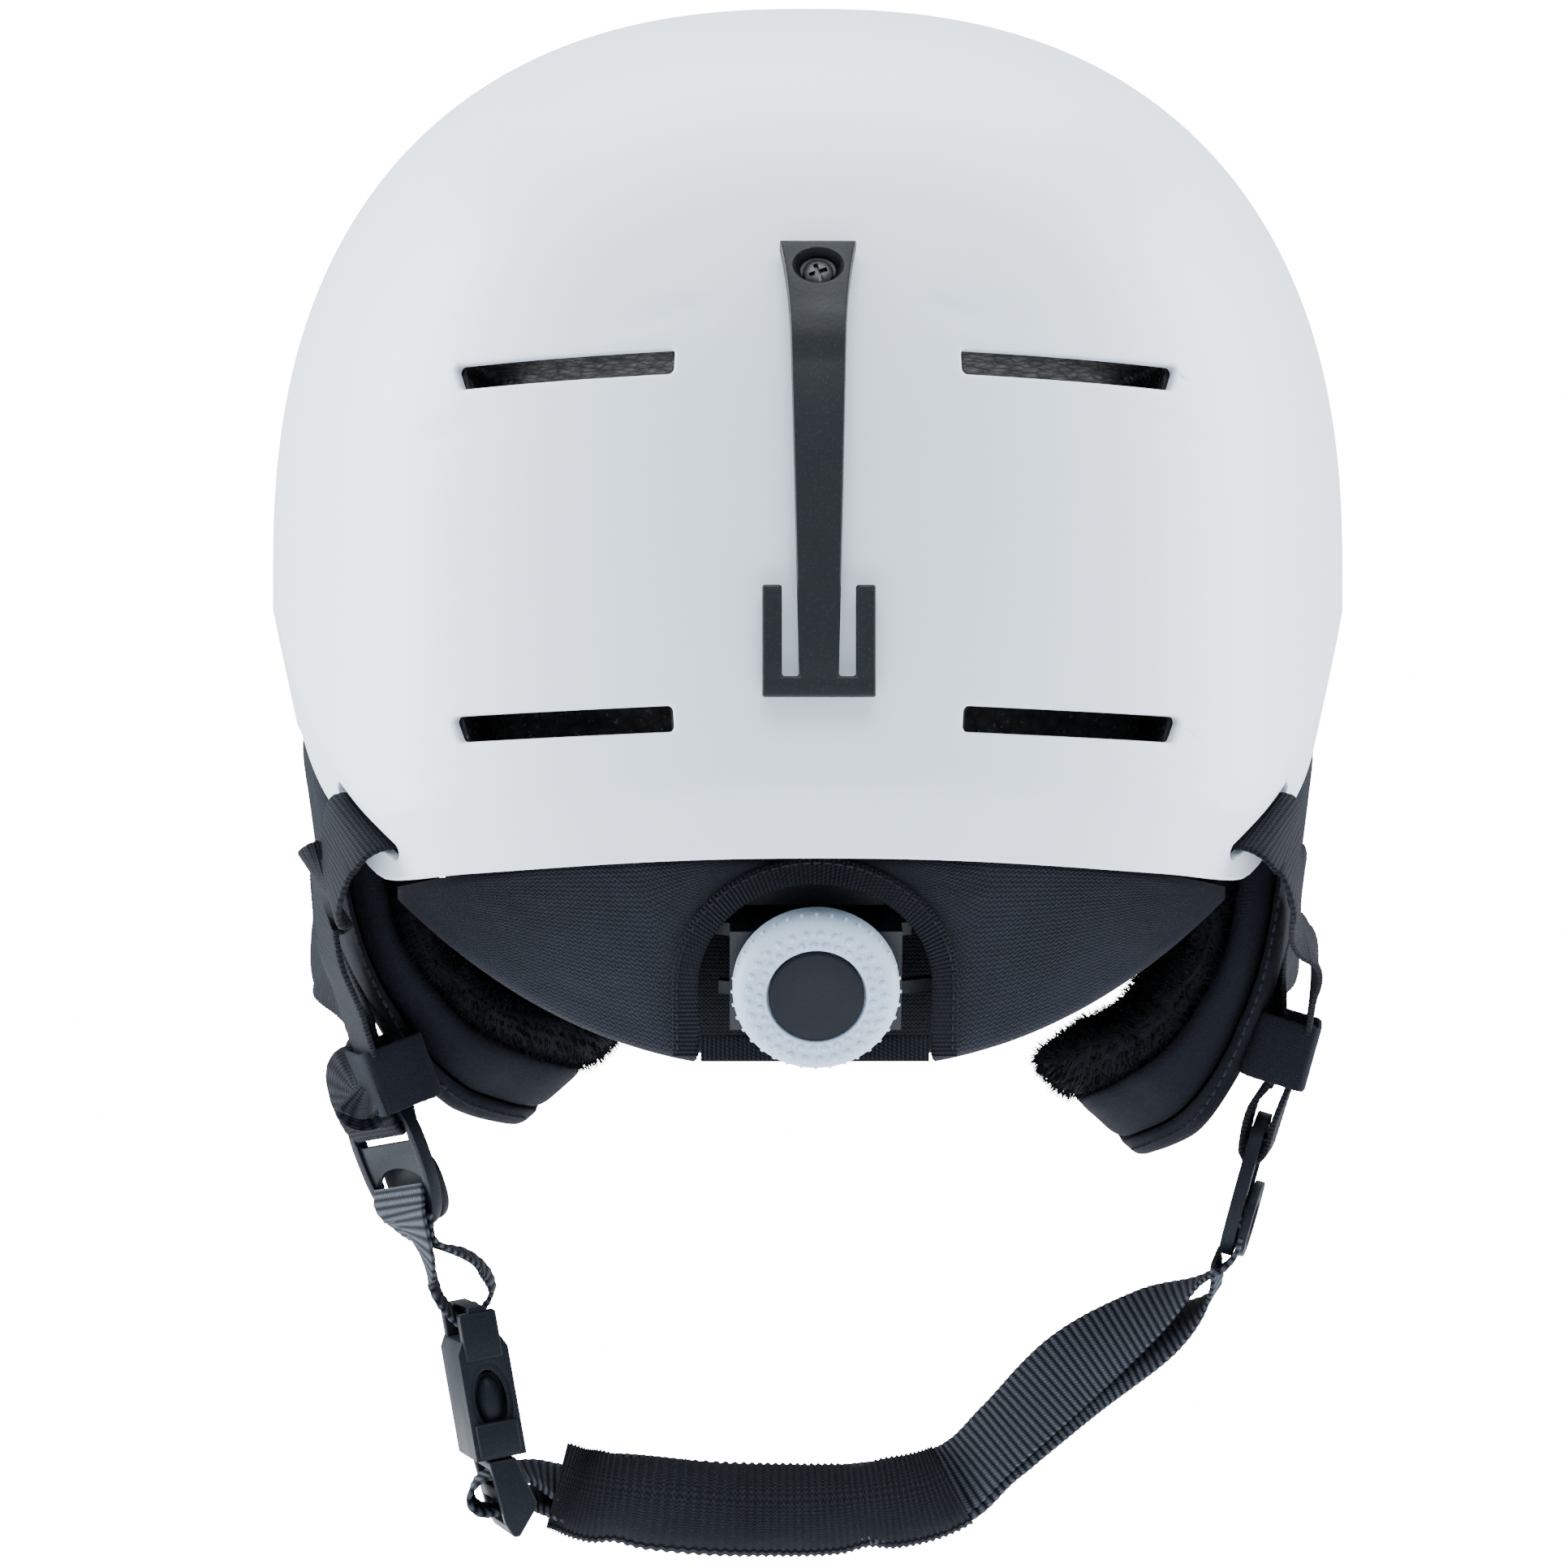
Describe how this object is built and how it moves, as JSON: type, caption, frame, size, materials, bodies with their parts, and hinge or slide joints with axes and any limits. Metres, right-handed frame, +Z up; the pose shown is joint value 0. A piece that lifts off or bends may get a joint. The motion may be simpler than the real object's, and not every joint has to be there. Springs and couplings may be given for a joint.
{
  "type": "ski helmet",
  "caption": "Ski helmet with a vented hard shell over foam, soft ear pads, a rear fit dial, a goggle strap retainer and a webbing chin strap with a side-release buckle.",
  "frame": {"origin": "midway between the wearer's ear canals, on the head that the helmet sits on", "axes": "+X to the wearer's right, +Y to the front of the helmet, +Z up to the crown"},
  "size_m": [0.2178, 0.2646, 0.3115],
  "materials": {
    "shell": "satin white moulded shell",
    "foam": "black expanded foam beads",
    "pad_knit": "navy-black brushed knit",
    "fleece": "black plush fleece",
    "webbing": "dark ribbed polyester webbing",
    "moulded": "fine-grained gunmetal-black moulded plastic",
    "buckle_plastic": "satin black acetal",
    "dial_grey": "pale grey soft-touch rubber",
    "screw_black": "black zinc finish",
    "insert_brass": "turned"
  },
  "bodies": {
    "root": {"brow_pad": "pad_knit", "buckle_female": "buckle_plastic", "chin_pad": "fleece", "crown_pad": "pad_knit", "dial_housing": "moulded", "divider_frame_left": "buckle_plastic", "divider_frame_right": "buckle_plastic", "ear_cover_left": "pad_knit", "ear_cover_right": "pad_knit", "ear_fleece_left": "fleece", "ear_fleece_right": "fleece", "ear_rim_left": "pad_knit", "ear_rim_right": "pad_knit", "eps_liner": "foam", "fit_cradle": "moulded", "goggle_clip_base": "moulded", "goggle_clip_insert": "insert_brass", "goggle_clip_screw": "screw_black", "nape_binding": "webbing", "nape_lining": "pad_knit", "nape_pad": "pad_knit", "nape_tape": "webbing", "outer_shell": "shell", "side_pad_left": "pad_knit", "side_pad_right": "pad_knit", "strap_anchor_front_left": "moulded", "strap_anchor_front_right": "moulded", "strap_anchor_rear_left": "moulded", "strap_anchor_rear_right": "moulded", "strap_chin": "webbing", "strap_front_left": "webbing", "strap_front_right": "webbing", "strap_keeper_left": "webbing", "strap_keeper_right": "webbing", "strap_lower_left": "webbing", "strap_rear_left": "webbing", "strap_rear_right": "webbing"},
    "goggle_arm": {"goggle_clip_arm": "moulded"},
    "fit_dial": {"dial_knob": "dial_grey", "dial_cap": "moulded", "dial_pinion": "moulded", "dial_screw": "screw_black"},
    "band_left": {"fit_band_left": "moulded"},
    "band_right": {"fit_band_right": "moulded"},
    "lever_left": {"divider_lever_left": "buckle_plastic"},
    "lever_right": {"divider_lever_right": "buckle_plastic"},
    "buckle_plug": {"buckle_male": "buckle_plastic", "chin_strap_loop": "webbing"},
    "arm_rear": {"buckle_arm_rear": "buckle_plastic"},
    "arm_front": {"buckle_arm_front": "buckle_plastic"}
  },
  "joints": [
    {"name": "goggle_clip_flex", "type": "hinge", "parent": "root", "child": "goggle_arm", "pos_m": [0, -0.12365, 0.08631], "axis": [-1, 0, 0], "range_deg": [0, 12], "stiffness_Nm_per_rad": 1.5},
    {"name": "dial_spin", "type": "hinge", "parent": "root", "child": "fit_dial", "pos_m": [0, -0.0994, -0.036], "axis": [0, -0.9272, -0.3746], "range_deg": [-180, 180]},
    {"name": "band_left_travel", "type": "hinge", "parent": "root", "child": "band_left", "pos_m": [0, -0.02383, -0.00547], "axis": [0, -0.3746, 0.9272], "range_deg": [-12, 12]},
    {"name": "band_right_travel", "type": "hinge", "parent": "root", "child": "band_right", "pos_m": [0, -0.02383, -0.00547], "axis": [0, -0.3746, 0.9272], "range_deg": [-12, 12]},
    {"name": "divider_lever_left", "type": "hinge", "parent": "root", "child": "lever_left", "pos_m": [-0.08027, -0.03822, -0.07241], "axis": [0.5817, -0.8006, 0.1438], "range_deg": [0, 60]},
    {"name": "divider_lever_right", "type": "hinge", "parent": "root", "child": "lever_right", "pos_m": [0.08903, -0.04026, -0.07871], "axis": [-0.1735, -0.9842, -0.035], "range_deg": [0, 75]},
    {"name": "buckle_release", "type": "slide", "parent": "root", "child": "buckle_plug", "axis": [0.1736, 0, -0.9848], "range_m": [0, 0.025]},
    {"name": "buckle_arm_rear", "type": "hinge", "parent": "buckle_plug", "child": "arm_rear", "pos_m": [-0.06278, -0.042, -0.13259], "axis": [-0.9848, 0, -0.1736], "range_deg": [0, 6], "stiffness_Nm_per_rad": 1},
    {"name": "buckle_arm_front", "type": "hinge", "parent": "buckle_plug", "child": "arm_front", "pos_m": [-0.06278, -0.027, -0.13259], "axis": [0.9848, 0, 0.1736], "range_deg": [0, 6], "stiffness_Nm_per_rad": 1}
  ],
  "couplings": [
    {"joint": "band_left_travel", "follows": "dial_spin", "ratio": -0.06},
    {"joint": "band_right_travel", "follows": "dial_spin", "ratio": 0.06}
  ]
}
